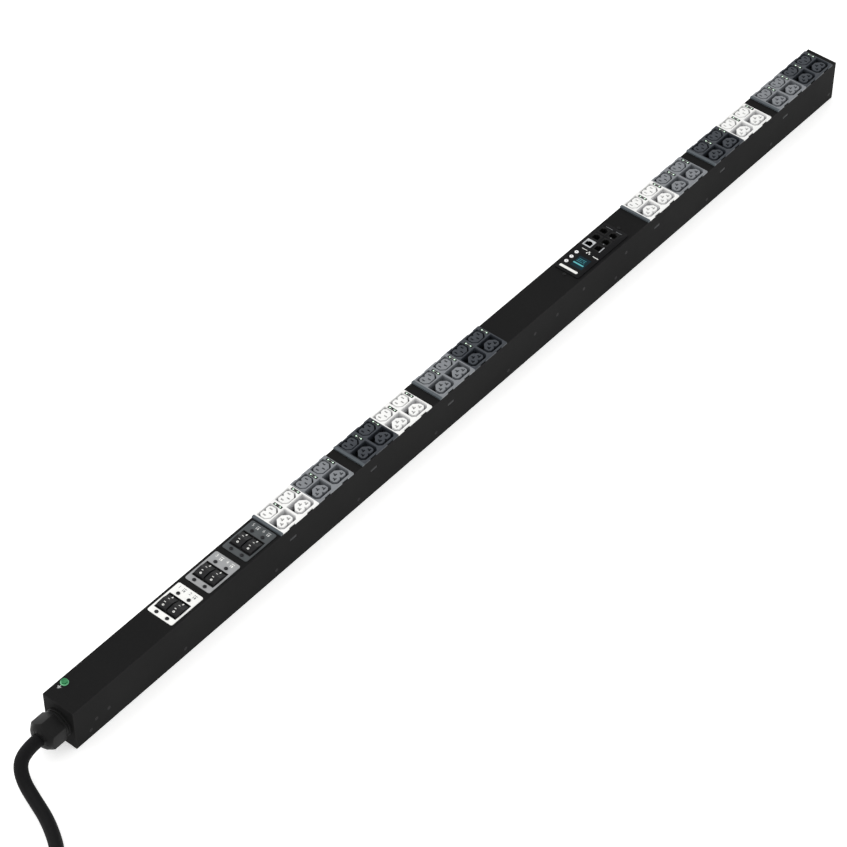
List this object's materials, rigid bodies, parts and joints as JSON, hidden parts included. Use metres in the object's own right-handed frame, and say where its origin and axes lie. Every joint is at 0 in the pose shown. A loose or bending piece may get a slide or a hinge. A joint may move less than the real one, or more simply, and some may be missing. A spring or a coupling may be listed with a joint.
{
  "type": "rack power strip",
  "caption": "Long vertical rack power strip with colour-banded outlet modules, rocker circuit breakers, a display controller and a gland-entry supply cord ending in a locking plug.",
  "frame": {"origin": "middle of the back face of the case, on the plane it is mounted by", "axes": "+X from the cord end to the far end along the length, +Y to the left of the face when the cord end is down, +Z out of the outlet face"},
  "size_m": [2.312, 0.2585, 0.0789],
  "materials": {
    "black_powder_coat": "satin black powder coat on steel sheet",
    "zinc_plate": "zinc plated steel",
    "white_moulding": "white moulded plastic",
    "grey_moulding": "mid grey moulded plastic",
    "dark_moulding": "dark grey moulded plastic",
    "carrier_moulding": "charcoal moulded plastic",
    "black_nylon": "black glass-filled nylon",
    "black_rubber": "black rubber",
    "green_screw": "green passivated steel",
    "black_screw": "black oxide steel",
    "rocker_black": "semi-gloss black plastic",
    "brass_contact": "plain brass",
    "strip_black": "gloss black plastic inlay",
    "light_pipe": "translucent green-tinted plastic",
    "circuit_board": "green circuit board",
    "wire_insulation": "wire insulation",
    "gloss_black": "gloss black plastic",
    "display_screen": "teal display behind a clear window",
    "white_button": "white plastic button",
    "port_shield": "tinned steel shield",
    "cord_jacket": "black rubber cord jacket",
    "plug_rubber": "black moulded plug"
  },
  "bodies": {
    "strip": {"breaker_bezel_1": "white_moulding", "breaker_bezel_2": "grey_moulding", "breaker_bezel_3": "dark_moulding", "breaker_bodies": "black_nylon", "breaker_screws": "black_screw", "case_fasteners": "zinc_plate", "controller_board": "circuit_board", "controller_fascia": "gloss_black", "controller_housing": "zinc_plate", "cord_coil": "cord_jacket", "cord_end_plate": "black_powder_coat", "cord_tube": "cord_jacket", "display": "display_screen", "far_end_cap": "black_powder_coat", "front_bridges": "black_powder_coat", "front_cover_input": "black_powder_coat", "front_cover_middle": "black_powder_coat", "gland_body": "black_nylon", "gland_locknut": "black_nylon", "gland_nut": "black_nylon", "gland_seal": "black_rubber", "ground_screw": "green_screw", "indicator_lights": "light_pipe", "indicator_strips": "strip_black", "module_boards": "circuit_board", "module_carriers": "carrier_moulding", "outlet_block_A1": "white_moulding", "outlet_block_A2": "grey_moulding", "outlet_block_B1": "dark_moulding", "outlet_block_B2": "white_moulding", "outlet_block_C1": "grey_moulding", "outlet_block_C2": "dark_moulding", "outlet_block_D1": "white_moulding", "outlet_block_D2": "grey_moulding", "outlet_block_E1": "dark_moulding", "outlet_block_E2": "white_moulding", "outlet_block_F1": "grey_moulding", "outlet_block_F2": "dark_moulding", "outlet_contacts": "brass_contact", "outlet_cores_dark": "dark_moulding", "outlet_cores_grey": "grey_moulding", "outlet_cores_white": "white_moulding", "plain_ports": "black_nylon", "plug_blades": "brass_contact", "plug_body": "plug_rubber", "power_supply": "circuit_board", "rear_channel": "black_powder_coat", "shielded_ports": "port_shield", "stiffener_tray": "zinc_plate", "supply_wires": "wire_insulation", "terminal_block": "black_nylon"},
    "rocker_1": {"breaker_rocker_1": "rocker_black"},
    "rocker_2": {"breaker_rocker_2": "rocker_black"},
    "rocker_3": {"breaker_rocker_3": "rocker_black"},
    "rocker_4": {"breaker_rocker_4": "rocker_black"},
    "rocker_5": {"breaker_rocker_5": "rocker_black"},
    "rocker_6": {"breaker_rocker_6": "rocker_black"},
    "button_1": {"controller_button_1": "white_button"},
    "button_2": {"controller_button_2": "white_button"},
    "button_3": {"controller_button_3": "white_button"}
  },
  "joints": [
    {"name": "breaker_1", "type": "hinge", "parent": "strip", "child": "rocker_1", "pos_m": [-0.6755, 0.01, 0.068], "axis": [0, 1, 0], "range_deg": [-14, 0]},
    {"name": "breaker_2", "type": "hinge", "parent": "strip", "child": "rocker_2", "pos_m": [-0.6755, -0.01, 0.068], "axis": [0, 1, 0], "range_deg": [-14, 0]},
    {"name": "breaker_3", "type": "hinge", "parent": "strip", "child": "rocker_3", "pos_m": [-0.5995, 0.01, 0.068], "axis": [0, 1, 0], "range_deg": [-14, 0]},
    {"name": "breaker_4", "type": "hinge", "parent": "strip", "child": "rocker_4", "pos_m": [-0.5995, -0.01, 0.068], "axis": [0, 1, 0], "range_deg": [-14, 0]},
    {"name": "breaker_5", "type": "hinge", "parent": "strip", "child": "rocker_5", "pos_m": [-0.5235, 0.01, 0.068], "axis": [0, 1, 0], "range_deg": [-14, 0]},
    {"name": "breaker_6", "type": "hinge", "parent": "strip", "child": "rocker_6", "pos_m": [-0.5235, -0.01, 0.068], "axis": [0, 1, 0], "range_deg": [-14, 0]},
    {"name": "push_button_1", "type": "slide", "parent": "strip", "child": "button_1", "axis": [0, 0, -1], "range_m": [0, 0.0006], "stiffness_N_per_m": 400, "springref_m": -0.0004},
    {"name": "push_button_2", "type": "slide", "parent": "strip", "child": "button_2", "axis": [0, 0, -1], "range_m": [0, 0.0006], "stiffness_N_per_m": 400, "springref_m": -0.0004},
    {"name": "push_button_3", "type": "slide", "parent": "strip", "child": "button_3", "axis": [0, 0, -1], "range_m": [0, 0.0006], "stiffness_N_per_m": 400, "springref_m": -0.0004}
  ]
}
